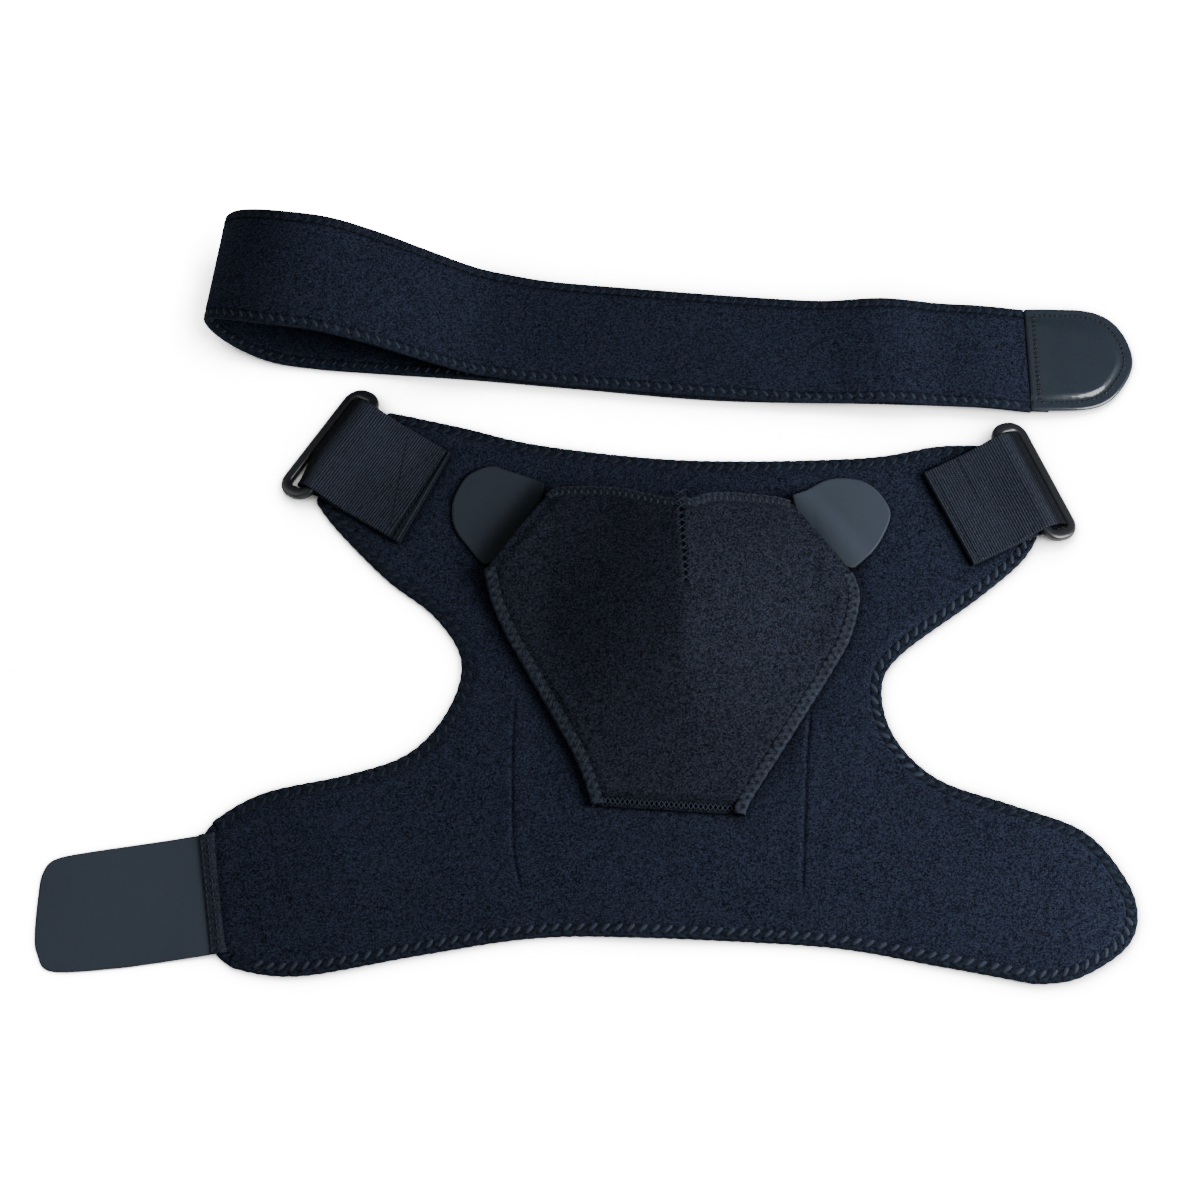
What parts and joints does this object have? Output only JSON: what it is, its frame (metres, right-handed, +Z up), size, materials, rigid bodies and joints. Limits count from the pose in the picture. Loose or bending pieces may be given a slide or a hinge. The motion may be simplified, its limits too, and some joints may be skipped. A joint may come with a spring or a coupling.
{
  "type": "shoulder brace",
  "caption": "Neoprene shoulder wrap with a domed cap, slot rings on webbing, an arm hook tab and a separate chest strap folded double behind it, all lying flat.",
  "frame": {"origin": "centre of the footprint, on the surface the brace lies on", "axes": "+X to the wrap's right arm, +Y from the wrap towards the chest strap, +Z up"},
  "size_m": [0.5446, 0.4088, 0.057],
  "materials": {
    "neoprene": "matte loop pile",
    "edge_tape": "matte",
    "hook_sheet": "satin",
    "ring_plastic": "semi-gloss",
    "webbing": "ribbed",
    "gloss_hook": "gloss"
  },
  "bodies": {
    "brace": {"wrap_panel": "neoprene", "wrap_binding": "edge_tape", "arm_tab": "hook_sheet", "arm_tab_strip": "edge_tape", "cap_panel": "neoprene", "cap_binding_top": "edge_tape", "cap_binding_right": "edge_tape", "cap_binding_left": "edge_tape", "cap_tab_left": "hook_sheet", "cap_tab_right": "hook_sheet", "webbing_left": "webbing", "webbing_right": "webbing", "chest_strap": "neoprene", "strap_binding_front": "edge_tape", "strap_binding_back": "edge_tape", "strap_tab": "gloss_hook"},
    "ring_left": {"slot_ring_left": "ring_plastic"},
    "ring_right": {"slot_ring_right": "ring_plastic"}
  },
  "joints": [
    {"name": "ring_left_swing", "type": "hinge", "parent": "brace", "child": "ring_left", "pos_m": [-0.13688, 0.0773, 0.0066], "axis": [0.5388, 0.8424, 0], "range_deg": [0, 160]},
    {"name": "ring_right_swing", "type": "hinge", "parent": "brace", "child": "ring_right", "pos_m": [0.20852, 0.0571, 0.0066], "axis": [0.3795, -0.9252, 0], "range_deg": [0, 160]}
  ]
}
